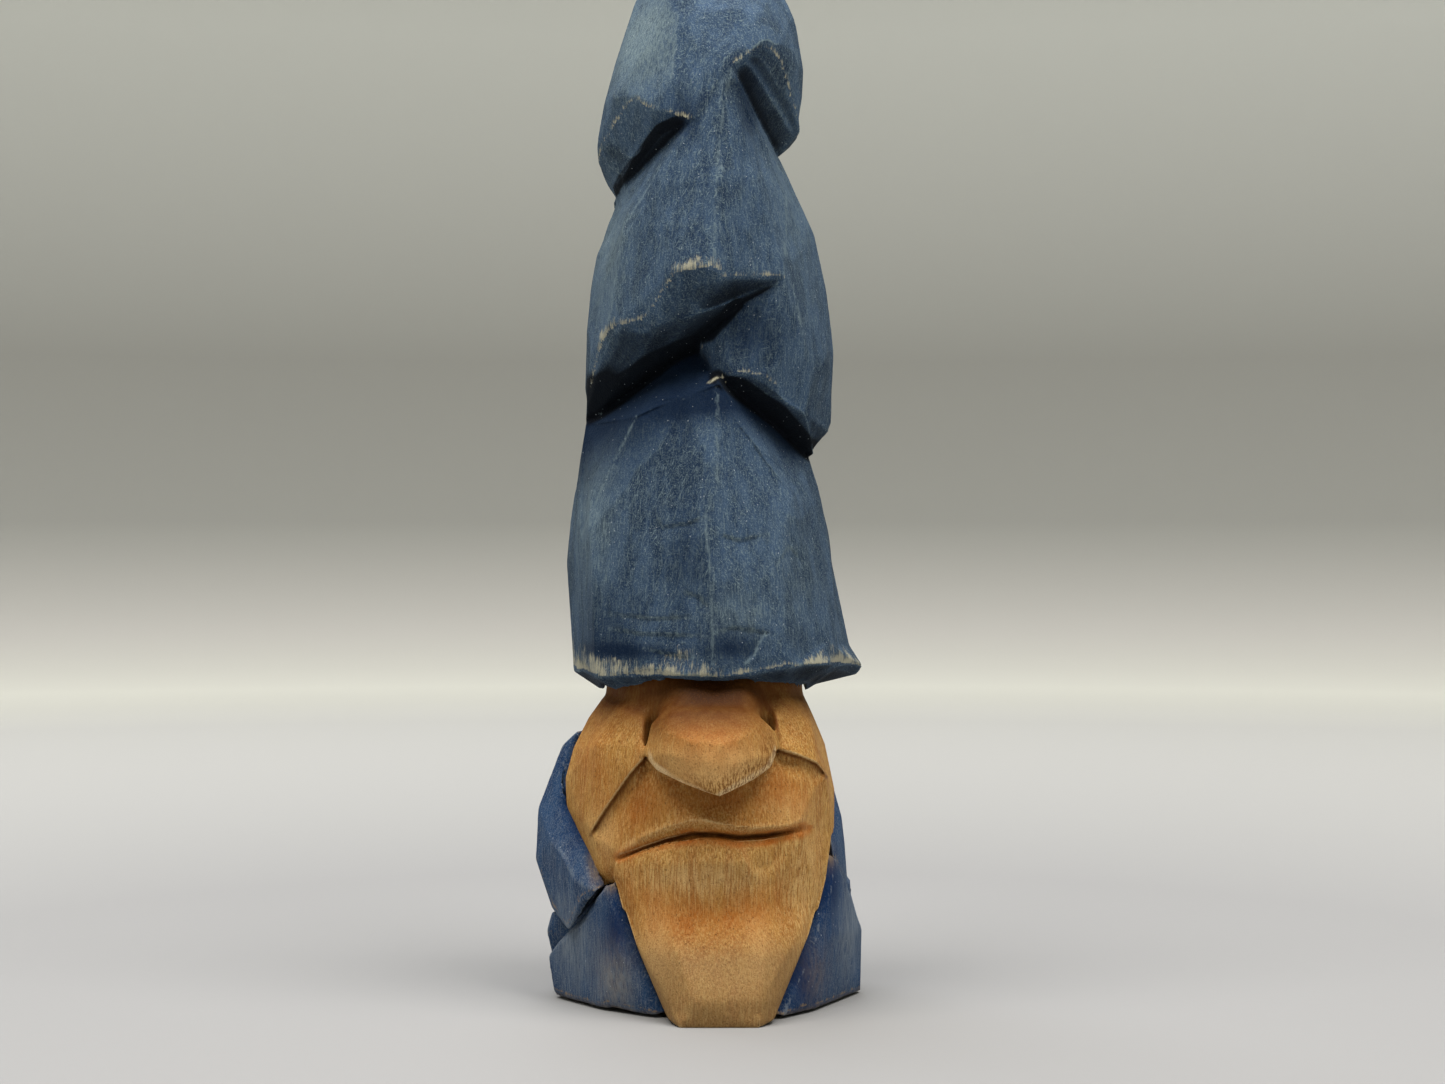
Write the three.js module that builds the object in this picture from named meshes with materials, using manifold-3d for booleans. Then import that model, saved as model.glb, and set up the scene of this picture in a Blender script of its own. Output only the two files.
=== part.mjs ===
// Nordic gnome figurine, carved with a knife in flat facets from limewood and stained.
// Millimetres, +Z up. The figure faces -Y, and the origin is under the middle of its box, on the table.
//
// Five pieces: the head with its crown tenon, the tall folded hat that sits over the tenon, the coat
// with a notch for the head, and two sleeves whose ends drop into the coat's pockets. Each piece is
// made of convex lumps, one for each fold or swelling that a carver roughs out before paring.
import * as THREE from "three";
import { ConvexGeometry } from "three/addons/geometries/ConvexGeometry.js";
import { mergeVertices } from "three/addons/utils/BufferGeometryUtils.js";
import Module from "manifold-3d";

// Driving dimensions.
const GAP = 0.3; // clearance left all round where two pieces meet
const BRIM_Z = 32; // height of the brim's front edge
const SHOULDER_Z = 30.5; // top of the coat's shoulders, before the hat's undercut is cleared
const CROWN_Z = 38; // top of the head's tenon, inside the hat
const SUMMIT_Z = 105; // top of the hat

const wasm = await Module();
wasm.setup();

// ---------------------------------------------------------------- solids

// A three.js geometry as a manifold-3d solid.
function solidOf(geometry) {
  const bare = geometry.clone();
  bare.deleteAttribute("normal");
  bare.deleteAttribute("uv");
  const merged = mergeVertices(bare, 1e-4);
  return new wasm.Manifold(
    new wasm.Mesh({
      numProp: 3,
      vertProperties: new Float32Array(merged.attributes.position.array),
      triVerts: new Uint32Array(merged.index.array),
    }),
  );
}

// The convex lump that wraps a list of [x, y, z] corners.
function lump(corners) {
  return solidOf(new ConvexGeometry(corners.map((c) => new THREE.Vector3(...c))));
}

// The same lump, grown outwards by a clearance: every corner becomes a small cube.
function grownLump(corners, by) {
  const signs = [-by, by];
  return lump(
    corners.flatMap(([x, y, z]) =>
      signs.flatMap((i) => signs.flatMap((j) => signs.map((k) => [x + i, y + j, z + k]))),
    ),
  );
}

const joined = (solids) => solids.reduce((all, next) => all.add(next));
const piece = (lumps) => joined(lumps.map(lump));
const clearanceOf = (lumps) => joined(lumps.map((corners) => grownLump(corners, GAP)));

// A finished solid as a named mesh in its stain.
function meshOf(name, solid, material) {
  const made = solid.getMesh();
  const geometry = new THREE.BufferGeometry();
  geometry.setAttribute("position", new THREE.BufferAttribute(made.vertProperties, 3));
  geometry.setIndex(new THREE.BufferAttribute(made.triVerts, 1));
  const flat = geometry.toNonIndexed();
  flat.computeVertexNormals();
  const mesh = new THREE.Mesh(flat, material);
  mesh.name = name;
  return mesh;
}

// ---------------------------------------------------------------- head

// Left and right are the viewer's, facing the figure.
const leftCheek = [
  // top edge, below the hollow where the eyes would be
  [-10.2, -4.5, 29.9], [-8.2, -9.3, 29.4], [-5.7, -12.2, 28.6],
  // swelling beside the nose, then the crease from the nose down to the jaw
  [-6.1, -13.2, 26.2], [-5.9, -13.6, 24.4], [-7.2, -12.9, 23], [-9.5, -11.1, 19.7], [-11, -9.7, 17.3],
  // outline, and down to the point of the cheek
  [-11.6, -4, 27.8], [-13.1, -4, 24.8], [-13.9, -4, 21.8], [-13.8, -4, 19.3], [-12.6, -4.6, 15.6],
  [-10.3, -9, 12.9], [-9.7, -9.5, 11.9], [-10.6, -9.4, 25.5],
  // back
  [-9.8, 4, 29], [-11.5, 0, 22], [-9.5, -1, 12], [-5, -6, 29],
];
const rightCheek = [
  [9.7, -5, 30], [8.3, -9.4, 29.8], [6.5, -12, 29.2],
  [6.9, -13.2, 27], [7, -13.7, 25.5], [9, -12.7, 24.7], [10.6, -11, 23.9], [11.4, -9.7, 22.7],
  [11.7, -4, 25.2], [12.6, -5, 20.8], [12.5, -6.5, 17], [10.3, -9.6, 27],
  [9.4, 4, 29], [11, 0, 22], [10.5, -1, 16], [5, -6, 29],
];
const crown = [
  [-9.4, -3, CROWN_Z], [-5, -9.5, CROWN_Z], [4.6, -9.5, CROWN_Z], [9.2, -3, CROWN_Z],
  [9.2, 4, CROWN_Z], [4, 7.5, CROWN_Z], [-4, 7.5, CROWN_Z], [-9.4, 4, CROWN_Z],
  [-9.8, 4, 29], [-4, 8, 29], [4, 8, 29], [9.4, 4, 29], [-4.6, -11.2, 31], [4.8, -11.2, 31],
  [-7.8, -8.6, 30], [8, -8.8, 30], [-9.9, -4, 30], [9.5, -4, 30], [-8, -2, 20], [9, -2, 20],
  [-3, -12, 26], [4, -12, 26],
];
const muzzle = [
  // under the cheeks and nose
  [-10.8, -9.3, 17], [-9.2, -10.8, 19.6], [-7, -12.4, 22.6], [-5.6, -12.8, 24.2], [7, -12.8, 24.9],
  [9, -12, 24.2], [10.9, -10.2, 22.6], [12.5, -5.5, 20.4], [12.4, -7, 16.8],
  // ridge of the upper lip
  [-8.2, -12.5, 15.4], [-6.2, -13.5, 17], [-3.7, -14.5, 18.2], [-1.4, -15.3, 18.9], [0, -15.5, 18.9],
  [1.8, -15.5, 18.4], [3.7, -15.3, 18.1], [5.7, -14.7, 18.2], [7.6, -13.9, 18.2], [9.1, -12.9, 18.7],
  // the lip's underside, down to the mouth
  [-8, -12.2, 15.3], [-3.5, -13.9, 17.1], [-1.4, -14.6, 17.7], [0.9, -14.7, 17.7], [3.2, -14.6, 17.4],
  [5.7, -13.9, 17.4], [9.2, -12.4, 17.5],
  // swellings either side of the nose, and the jaw's corner
  [-5.3, -13.6, 20.6], [8, -12.8, 21.4], [-10.3, -8.6, 11.8], [-12.4, -5, 15.5],
  [-9, -2, 13], [-9, -2, 24], [10, -2, 24], [10, -2, 16],
];
const lowerLip = [
  [-8.6, -12.3, 14.6], [-5.8, -13.8, 15.9], [-3.5, -14.6, 16.7], [-0.5, -15.2, 17.2],
  [3.2, -15.1, 16.9], [5.7, -14.5, 16.9], [9.2, -12.6, 17.4], [12.3, -7.2, 17.2], [0, -15.8, 15],
  [4, -15.6, 15], [-4, -15, 14.6], [11.6, -9, 12.6], [10.8, -10.4, 9.8], [5, -15.1, 9.8],
  [-1, -15.5, 9.8], [-4, -15, 9.8], [-7.9, -12.8, 10.2], [-8.8, -12.1, 12.9],
  [-9, -3, 14], [-7.5, -3, 8], [10, -3, 8], [10.5, -3, 16],
];
const chin = [
  // hollow under the lip
  [-7.8, -12.7, 10.6], [-4, -15, 10.8], [5, -15, 10.8], [10.8, -10.2, 10.6],
  // ridge across the top of the chin, then its front facets
  [-6.6, -14.2, 7.2], [-3.6, -16, 6.8], [-1.1, -17.1, 6.6], [5.6, -16.8, 6.6], [8.2, -14.4, 7.2],
  [9.9, -11.9, 7.8], [-4, -16.8, 2.4], [-1.1, -19.3, 2.5], [5.4, -18.8, 2.6], [7, -16.6, 2.4],
  // underside and back
  [-3.4, -16.9, 0.4], [-2.4, -18.8, 0], [5, -18.8, 0], [6.4, -17, 0.4], [7, -3, 0], [-5, -3, 0],
  [-7.5, -3, 10], [10, -3, 10],
];
const noseBridge = [
  [-2.8, -12.2, 31.6], [3.2, -12.2, 31.6], [-2.4, -10.4, 34], [3, -10.4, 34], [0.5, -13.1, 31.3],
  [-4.4, -13.3, 29.3], [5, -13.3, 29.4], [-3, -15.2, 28.3], [3.8, -15.2, 28.3], [0.5, -16, 28.4],
  [-5, -11, 28], [6, -11, 28],
];
const noseTip = [
  // outline of the ball, from its left round underneath to its right
  [-5.7, -13.5, 28.2], [-6, -14, 25.4], [-5.8, -14.3, 24.8], [-4.6, -15.4, 23.6], [-2, -17, 22.5],
  [0, -17.8, 21.8], [1.3, -18.1, 21.4], [2.7, -17.8, 22], [4.6, -16.8, 22.9], [6.2, -15.4, 23.9],
  [7, -14.1, 25.6], [6.8, -13.5, 27.7],
  // edge where the bevel below the ball starts, and the small facet at its lowest point
  [-4.2, -16.8, 25.3], [-2.2, -18, 25], [0.5, -18.7, 24.5], [2.7, -18.5, 24.4], [4.5, -17.6, 24.9],
  [6.1, -16, 25.1], [-0.2, -18.1, 22.7], [1.8, -18.2, 22.9],
  // front and top of the ball
  [-1.5, -18.3, 26.6], [1.5, -18.7, 26.3], [3.4, -18.1, 26.9], [-3.8, -16.7, 27.4], [5, -16.6, 27.6],
  [-3.6, -15.1, 29.4], [4.4, -15.1, 29.4], [0.5, -16.1, 29.5],
  [-4, -10, 23], [5, -10, 23], [0.7, -10, 21.8], [0, -10, 29],
];
const headLumps = [leftCheek, rightCheek, crown, muzzle, lowerLip, chin, noseBridge, noseTip];

// ---------------------------------------------------------------- hat

const cone = [
  // brim, from its front ridge round by the right
  [1, -14.6, BRIM_Z], [8, -12.2, BRIM_Z + 1.2], [13, -6, BRIM_Z + 0.9], [13.4, 1, BRIM_Z + 0.4],
  [10.8, 9, BRIM_Z - 0.6], [2, 13.6, BRIM_Z - 1.2], [-7.5, 11.8, BRIM_Z - 0.8],
  [-12.6, 6, BRIM_Z], [-13.7, -0.5, BRIM_Z + 0.5], [-10.6, -8.8, BRIM_Z], [-5, -12.6, BRIM_Z + 0.1],
  // where the undercut meets the head
  [-10, 0, 30], [9.5, 0, 30], [0, -12.2, 31], [0, 11, 29.6], [-8, -8, 30.3], [8, -8, 30.5],
  [8, 8, 29.7], [-8, 8, 29.7],
  // a third of the way up
  [-14, 0, 43.3], [-11.4, -7.4, 43], [0.7, -13.4, 43], [7.4, -10.8, 43.7], [12.5, 0, 43.3],
  [9.5, 8.6, 43], [1.5, 12.8, 42], [-8.5, 10.4, 43],
  // under the folds
  [-13.4, 0, 49.3], [-11.5, -6, 49], [0.6, -12.8, 49.1], [8.3, -8.6, 49], [12, 0, 49.2],
  [8.6, 8, 50], [1, 12, 50], [-8.4, 9.4, 50], [-12.3, 0, 56.8], [-6.8, -8.4, 57.3],
  [1.3, -10, 60.3], [10.6, 0, 53.2], [8, 7, 54], [1, 10.5, 57], [-8, 8, 57], [0, 0, 68],
];
// The brim sweeps out on the right in a hollow curve, so it takes two lumps.
const flareTop = [
  [12.5, 0, 43.3], [13.1, 0, 38.3], [14.3, 0, 34.8], [9.3, -9.1, 40], [12, -7.3, 35.2],
  [10.9, 7.3, 39], [12.4, 6.5, 34.4], [9, 0, 32], [9, 0, 42],
];
const flareTip = [
  [14.3, 0, 34.8], [15.7, -0.5, 32.6], [15.3, 0.8, 31.9], [12.4, -8, 33.3], [8, -12.2, 33.2],
  [12, -7.3, 35.2], [12.9, 6.6, 32], [10.8, 9, 31.4], [12.4, 6.5, 34.4], [9, 0, 30.4], [10, 0, 36],
];
const rightFold = [
  // lower edge of the fold's front, and the ridge between its two end facets
  [3.6, -9.9, 61.4], [5.3, -9.8, 63], [6.2, -9.7, 63.6], [9.4, -7.2, 63.2], [11.8, -3.4, 63.3],
  [4.9, -9.6, 60.9], [7.4, -8.3, 59.2], [9.7, -6.1, 57.9], [11.1, -3.7, 57.4],
  [13, 0, 58.3], [12.9, 0.2, 56.4], [10.7, -0.6, 53.7],
  // crease below it
  [1.2, -8.4, 60.6], [3.5, -6, 59.6], [7.2, -3, 57.2], [-0.4, -7.8, 64],
  // right side, up beside the front fold to the peaks
  [13, 0, 61.3], [12.5, 0, 66.3], [12, 0, 70.3], [10.8, 0, 75.8], [7.7, -8.6, 70.5], [3.5, -8.6, 68.2],
  [7.9, -5, 79.7], [7.2, -0.5, 83.6],
  // back
  [10, 7, 56.5], [4.5, 11, 58.5], [-2, 11.2, 61], [10.2, 6.5, 66], [4, 10.4, 68], [-3, 9.8, 69],
  [9.3, 5, 75.5], [6.8, 3, 82], [0, 0, 60], [0, 0, 76],
];
const frontFold = [
  // lower edge of the fold's front
  [-12.3, 0, 56.9], [-12.3, -2, 62.8], [-11.4, -3.6, 63.4], [-9.8, -6.9, 65.6], [-9, -7.7, 66.2],
  [-6, -10, 66.6], [-2.8, -12, 71], [0.8, -12.6, 71.6], [7.5, -9, 70.9],
  // lip below it, then the crease it overhangs
  [-6, -9.4, 65.2], [-1, -10.8, 67], [1.6, -12.1, 70.2], [-5.3, -5.8, 62.3], [-9, -2.8, 59.6],
  [-2.6, -4.8, 63.8], [0.4, -4.8, 65], [3, -6.6, 68], [7.7, -8.7, 70.5],
  // left side and shoulder
  [-11.8, -0.5, 68], [-11.3, -1, 73.3], [-10.1, -1, 76.8], [-9.6, 0, 79], [-7.9, -7, 76.2],
  [-5.9, -8, 78.6], [-4.7, -8.6, 80.8],
  // ridges up the front, to the point where the peaks part
  [0.8, -11.8, 76], [1.2, -10.4, 83], [2.5, -9.3, 91], [-1.3, -9.1, 85.8], [7.8, -5, 79.7],
  [7.1, -0.5, 83.6], [10.2, 0, 75.4], [10.8, 0, 71],
  // back
  [-10.2, 6.5, 59.5], [-5, 10.3, 63], [0, 11.3, 66.5], [5.5, 9.6, 71], [-9.5, 6.3, 72],
  [-4, 9.4, 77], [3, 9, 80], [7, 4.5, 80], [0, 7.5, 88], [0, 0, 62],
];
const leftPeak = [
  // lower edge of the peak's front
  [-10.6, -0.5, 88.4], [-8.8, -4.6, 89.3], [-7.2, -6.6, 88.8], [-5.1, -8.4, 87.3],
  [-1.2, -9.2, 85.8],
  // end facet, and the crease below it
  [-4.6, -8, 86], [-6.5, -5.4, 83.8], [-8.6, -2.2, 81.9], [-11.3, 0, 83.3], [-9.3, -0.3, 79],
  // up to the summit
  [-7.1, 0, 99.3], [-3.7, -5.5, 98.2], [-2.7, -6.6, 96.4], [-3.4, -8.4, 90], [-4.6, 0, 103.6],
  [-1, -3.4, 102.4],
  // back
  [-10.4, 4, 82.5], [-6.5, 8.2, 84.5], [0, 9.4, 86.5], [-5.5, 5, 99], [-1, 7, 98], [0, 0, 84],
];
const rightPeak = [
  [2.5, -9.1, 91.2], [3.8, -8.7, 92.1], [5.6, -7.9, 93.2], [7.1, -6.4, 93.1], [8.7, -3.4, 92.6],
  [9.7, -0.5, 92.2], [9.4, 0, 86.2], [7, 0, 83.4],
  [8.8, 0, 97.8], [3.5, -6.7, 97.3], [5.5, -6.2, 96.2], [6.1, -7, 94.2],
  [8.9, 4, 85.5], [5, 8, 87], [0, 8.8, 86.5], [6, 5, 99], [2, 6.5, 99], [5.6, 0.5, 103.4],
  [3.8, 0.5, SUMMIT_Z], [0, 3.5, SUMMIT_Z - 0.4], [0, 0, 86],
];
const column = [
  [-2.7, -6.6, 96.4], [3.5, -6.7, 97.3], [2.5, -9.2, 91.2], [-1.2, -9.3, 86], [-3.2, -8.6, 89.5],
  [1.1, -9.9, 84], [-4.6, 0, 103.6], [3.8, 0.5, SUMMIT_Z], [0, 3.5, SUMMIT_Z - 0.4], [-1, 7, 98],
  [2, 6.5, 99], [0, 8, 84], [-4, 0, 80], [5, 0, 80],
];
const hatLumps = [cone, flareTop, flareTip, rightFold, frontFold, leftPeak, rightPeak, column];

// ---------------------------------------------------------------- coat and sleeves

const torso = [
  [-9.3, -1, SHOULDER_Z], [9.2, -1, SHOULDER_Z], [7.6, 9, SHOULDER_Z], [-7.6, 9, SHOULDER_Z],
  [0, 11, SHOULDER_Z], [-12.5, -2, 18], [12.2, -2, 18], [11.5, 9.5, 18], [0, 14, 18],
  [-11.5, 9.5, 18], [-16, 0, 6.2], [15.6, 1, 6.6], [13.6, 8.5, 6], [4, 14.6, 6], [-4, 14.8, 6],
  [-13.6, 8.5, 6], [-15, 2, 0], [15.3, 1, 0], [13, 8.5, 0], [5, 13.6, 0], [-4, 14, 0],
  [-12, 9.5, 0], [0, -6, 0], [0, -6, 18],
];
const skirt = [
  // hem
  [-15, -3, 0], [-10.2, -9.6, 0], [-5.3, -13.6, 0], [-3.9, -14, 0], [7.2, -14.6, 0], [10.5, -10.4, 0],
  [15.5, 0, 0], [13, 8, 0], [-12, 9, 0],
  // left front, up to the pocket's edge
  [-15.7, -2.5, 4.4], [-8.3, -12.4, 6.2], [-9.7, -10.9, 11.8], [-8.9, -11.6, 12.9],
  // right front, up to the pocket's edge
  [12, -8, 15.8], [12.9, -6.2, 13.4], [13.6, -4.2, 11.6], [15.8, -1, 6.6], [15.6, 0, 3.6],
  [12.1, -8.8, 7.1], [9.5, -12, 1.2],
];
const leftSleeve = [
  [-11.9, -1.5, 27.2], [-14.3, -1.5, 25], [-16.7, -2, 18.7], [-16.9, -2.5, 13.7], [-15.2, -4, 9.1],
  [-13.4, -7, 7.3], [-10.3, -10.3, 11.5], [-15.3, -5, 15.8], [-13.9, -7, 14.3], [-12.8, -8.5, 12.4],
  [-11.1, -10, 11.7], [-12, -5, 20], [-11, -8, 15], [-10.5, 4, 27], [-14.5, 5, 22], [-16, 5, 14],
  [-15.2, 3.5, 8.5], [-9, 0, 12], [-9, 0, 26],
];
const rightSleeve = [
  [12.7, 0, 18.9], [13.5, 0, 17.7], [13.8, 0, 15.1], [13.9, -1, 11.8], [10.6, 1, 25.5],
  [10.4, 7, 26], [12.4, 6, 22], [13.9, 6, 15], [14.4, 5, 9.5], [14, 0, 9], [8, 2, 26], [8, 2, 10],
  [12.6, -4.5, 14], [11.6, -3, 20], [12, 8, 12], [8, 7, 24],
];

// ---------------------------------------------------------------- pieces

const stain = (color, roughness) => new THREE.MeshStandardMaterial({ color, roughness, metalness: 0 });
const hatStain = stain(0x4a6078, 0.75);
const coatStain = stain(0x2f4a86, 0.7);
const bareWood = stain(0xc9985c, 0.6);

const head = piece(headLumps);
const hat = piece(hatLumps).subtract(clearanceOf(headLumps));
const besideSleeves = clearanceOf([...headLumps, ...hatLumps, skirt]);
const sleeve = (corners) => lump(corners).subtract(besideSleeves);
const coat = lump(torso)
  .subtract(clearanceOf([leftSleeve, rightSleeve]))
  .add(lump(skirt))
  .subtract(clearanceOf([...headLumps, ...hatLumps]));

const figure = new THREE.Group();
figure.add(
  meshOf("head", head, bareWood),
  meshOf("hat", hat, hatStain),
  meshOf("coat", coat, coatStain),
  meshOf("left_sleeve", sleeve(leftSleeve), coatStain),
  meshOf("right_sleeve", sleeve(rightSleeve), coatStain),
);

// The origin goes under the middle of the figure's box.
const box = new THREE.Box3().setFromObject(figure);
const middle = box.getCenter(new THREE.Vector3());
figure.position.set(-middle.x, -middle.y, -box.min.z);

export default figure;
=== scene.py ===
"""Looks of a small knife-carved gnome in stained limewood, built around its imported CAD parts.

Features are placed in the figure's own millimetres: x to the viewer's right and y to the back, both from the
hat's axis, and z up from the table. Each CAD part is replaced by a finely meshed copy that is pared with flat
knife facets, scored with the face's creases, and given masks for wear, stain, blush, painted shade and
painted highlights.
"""
from itertools import product

import bpy
import numpy as np
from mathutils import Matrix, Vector
from mathutils.bvhtree import BVHTree
from mathutils.kdtree import KDTree


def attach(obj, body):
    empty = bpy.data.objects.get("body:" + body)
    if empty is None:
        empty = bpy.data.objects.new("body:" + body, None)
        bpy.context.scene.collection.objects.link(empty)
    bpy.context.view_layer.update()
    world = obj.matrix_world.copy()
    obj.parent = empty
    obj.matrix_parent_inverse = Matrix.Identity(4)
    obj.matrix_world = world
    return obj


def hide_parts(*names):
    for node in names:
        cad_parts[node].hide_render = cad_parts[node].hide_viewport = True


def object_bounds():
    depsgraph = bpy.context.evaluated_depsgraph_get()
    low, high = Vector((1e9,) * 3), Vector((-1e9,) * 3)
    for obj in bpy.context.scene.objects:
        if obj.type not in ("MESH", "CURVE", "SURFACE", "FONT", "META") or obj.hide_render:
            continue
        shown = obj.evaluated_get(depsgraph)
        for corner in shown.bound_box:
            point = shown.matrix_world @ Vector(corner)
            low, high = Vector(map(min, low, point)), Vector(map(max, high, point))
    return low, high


MM = 0.001
SEED = 1863

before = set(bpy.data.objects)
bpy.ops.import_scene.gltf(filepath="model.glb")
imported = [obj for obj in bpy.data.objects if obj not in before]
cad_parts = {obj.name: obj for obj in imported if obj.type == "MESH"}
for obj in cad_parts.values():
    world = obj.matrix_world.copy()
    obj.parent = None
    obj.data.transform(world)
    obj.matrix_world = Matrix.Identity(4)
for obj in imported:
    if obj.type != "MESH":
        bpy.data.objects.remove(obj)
cad_low, cad_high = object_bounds()

# The hat's axis is 15.8 mm in from the box's right side and 19.3 mm behind its front.
AXIS = np.array([cad_high.x / MM - 15.8, cad_low.y / MM + 19.3, 0.0])


def row_point(x, y, z):
    """A place in figure millimetres as a point of the frame, in metres."""
    return Vector((np.array([x, y, z]) + AXIS) * MM)


def srgb(code):
    """A colour code such as "4a6078" as linear red, green, blue and alpha."""
    parts = [int(code[i:i + 2], 16) / 255 for i in (0, 2, 4)]
    return (*[p / 12.92 if p <= 0.04045 else ((p + 0.055) / 1.055) ** 2.4 for p in parts], 1.0)


# ---------------------------------------------------------------- fine meshes


def smooth_step(value, low, high):
    """0 below low, 1 above high, and a smooth rise between them."""
    part = np.clip((value - low) / (high - low), 0.0, 1.0)
    return part * part * (3.0 - 2.0 * part)


def lattice_noise(at, size, seed):
    """Smooth noise from -1 to 1 at each point, with features of that size in millimetres."""
    cell = at / size
    low = np.floor(cell).astype(np.int64)
    part = cell - low
    part = part * part * (3.0 - 2.0 * part)
    total = np.zeros(len(at))
    for corner in product((0, 1), repeat=3):
        weight = np.prod(np.where(corner, part, 1.0 - part), axis=1)
        mixed = ((low + corner) * (73856093, 19349663, 83492791)).sum(1) + seed * 2654435761
        mixed = (mixed ^ (mixed >> 13)) * 1274126177
        mixed ^= mixed >> 16
        total += weight * ((mixed & 0xFFFF) / 32767.5 - 1.0)
    return total


class Surface:
    """A piece's vertices in figure millimetres, with its edges and normals."""

    def __init__(self, mesh):
        self.mesh = mesh
        self.count = len(mesh.vertices)
        flat = np.empty(3 * self.count, np.float32)
        mesh.vertices.foreach_get("co", flat)
        self.at = flat.reshape(-1, 3).astype(float) / MM - AXIS
        ends = np.empty(2 * len(mesh.edges), np.int32)
        mesh.edges.foreach_get("vertices", ends)
        self.ends = ends.reshape(-1, 2)
        self.neighbours = np.bincount(ends, minlength=self.count)[:, None]
        self.tone = np.full(self.count, 0.5)
        self.read_normals()

    def read_normals(self):
        flat = np.empty(3 * self.count, np.float32)
        self.mesh.vertex_normals.foreach_get("vector", flat)
        self.normal = flat.reshape(-1, 3).astype(float)

    def store(self):
        self.mesh.vertices.foreach_set("co", ((self.at + AXIS) * MM).astype(np.float32).ravel())
        self.mesh.update()
        self.read_normals()

    def spread(self, values, rounds):
        """Values averaged with their neighbours' a number of times."""
        columns = np.array(values, float).reshape(self.count, -1)
        a, b = self.ends.T
        for _ in range(rounds):
            sums = [np.bincount(a, c[b], self.count) + np.bincount(b, c[a], self.count) for c in columns.T]
            columns = 0.5 * columns + 0.5 * np.stack(sums, 1) / self.neighbours
        return columns.reshape(np.shape(values))

    def relax(self, rounds, where=1.0):
        """Rounds the surface off, all over or where a mask says."""
        where = np.broadcast_to(where, self.count)[:, None]
        self.at += (self.spread(self.at, rounds) - self.at) * where
        self.store()

    def shave(self, centre, direction, reach, depth, tone, most=0.25):
        """Pares a flat facet: the plane lies depth below centre, takes off at most so much, and fades out."""
        offset = self.at - centre
        far = np.sqrt((offset ** 2 * (1.0, 1.0, 0.35)).sum(1))
        above = offset @ direction + depth
        chosen = np.flatnonzero((far < reach) & (above > 0.0))
        fade = 1.0 - smooth_step(far[chosen], 0.75 * reach, reach)
        facing = smooth_step(self.normal[chosen] @ direction, 0.3, 0.7)
        taken = most * (1.0 - np.exp(-above[chosen] / most)) * fade * facing
        self.at[chosen] -= direction * taken[:, None]
        self.tone[chosen[taken > 0.015]] = tone

    def near_path(self, path):
        """Each vertex's distance from a path of (x, z) points seen from the front, its place along it from
        0 to 1, and how far it lies to the right of it when walking it, which is below a path to the right."""
        seen = self.at[:, [0, 2]]
        path = np.array(path, float)
        best = np.full(self.count, 1e9)
        along = np.zeros(self.count)
        right = np.zeros(self.count)
        for i, (start, end) in enumerate(zip(path[:-1], path[1:])):
            step = end - start
            offset = seen - start
            part = np.clip((offset @ step) / (step @ step), 0.0, 1.0)
            far = np.linalg.norm(offset - part[:, None] * step, axis=1)
            closer = far < best
            best[closer] = far[closer]
            along[closer] = (i + part[closer]) / (len(path) - 1)
            turn = (offset[:, 0] * step[1] - offset[:, 1] * step[0]) / np.linalg.norm(step)
            right[closer] = np.sign(turn[closer]) * far[closer]
        return best, along, right

    def facing_front(self):
        return smooth_step(-self.normal[:, 1], 0.05, 0.35) * (self.at[:, 1] < 0.0)

    def score(self, path, width, depth, fade=0.15):
        """Cuts a V groove along a path on the front, shallower towards its ends."""
        far, along, _ = self.near_path(path)
        ends = smooth_step(np.minimum(along, 1.0 - along), -0.02, fade)
        self.at[:, 1] += depth * np.clip(1.0 - far / width, 0.0, 1.0) * ends * self.facing_front()

    def stop_cut(self, path, reach, depth, fade=0.12):
        """Cuts straight in along a path on the front and pares the wood below it back to meet the cut."""
        far, along, right = self.near_path(path)
        ends = smooth_step(np.minimum(along, 1.0 - along), -0.02, fade)
        slope = np.clip(1.0 - far / reach, 0.0, 1.0) ** 1.5 * smooth_step(right, -0.1, 0.1)
        self.at[:, 1] += depth * slope * ends * self.facing_front()

    def blob(self, centre, radius):
        """A soft mask round a place: 1 in the middle, fading out by about twice the radius."""
        return np.exp(-(((self.at - centre) / radius) ** 2).sum(1))

    def mask(self, name, values):
        layer = self.mesh.attributes.new(name, "FLOAT", "POINT")
        layer.data.foreach_set("value", np.clip(values, 0.0, 1.0).astype(np.float32))


def fine_copy(node, voxel):
    """A new piece with the CAD node's shape in small even quads, its edges a little rounded by use."""
    piece = bpy.data.objects.new("carved_" + node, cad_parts[node].data.copy())
    bpy.context.scene.collection.objects.link(piece)
    remesh = piece.modifiers.new("even", "REMESH")
    remesh.mode = "VOXEL"
    remesh.voxel_size = voxel * MM
    depsgraph = bpy.context.evaluated_depsgraph_get()
    mesh = bpy.data.meshes.new_from_object(piece.evaluated_get(depsgraph))
    piece.modifiers.clear()
    piece.data = mesh
    mesh.materials.clear()
    mesh.polygons.foreach_set("use_smooth", np.ones(len(mesh.polygons), bool))
    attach(piece, "root")
    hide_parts(node)
    return piece


def pare(surface, count, reach, depth, rng, on_ridges, tilt=0.06):
    """Random flat knife facets, along the ridges or in the broad faces of a piece, all round."""
    outline = surface.spread(surface.normal, 8)
    rise = ((surface.at - surface.spread(surface.at, 6)) * surface.normal).sum(1)
    places = np.flatnonzero(rise > 0.03) if on_ridges else np.arange(surface.count)
    for index in rng.choice(places, count):
        direction = outline[index] + rng.normal(0.0, tilt, 3)
        direction /= np.linalg.norm(direction)
        tone = rng.uniform(0.0, 1.0)
        surface.shave(surface.at[index].copy(), direction, rng.uniform(*reach), rng.uniform(*depth), tone)
    surface.store()


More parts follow.
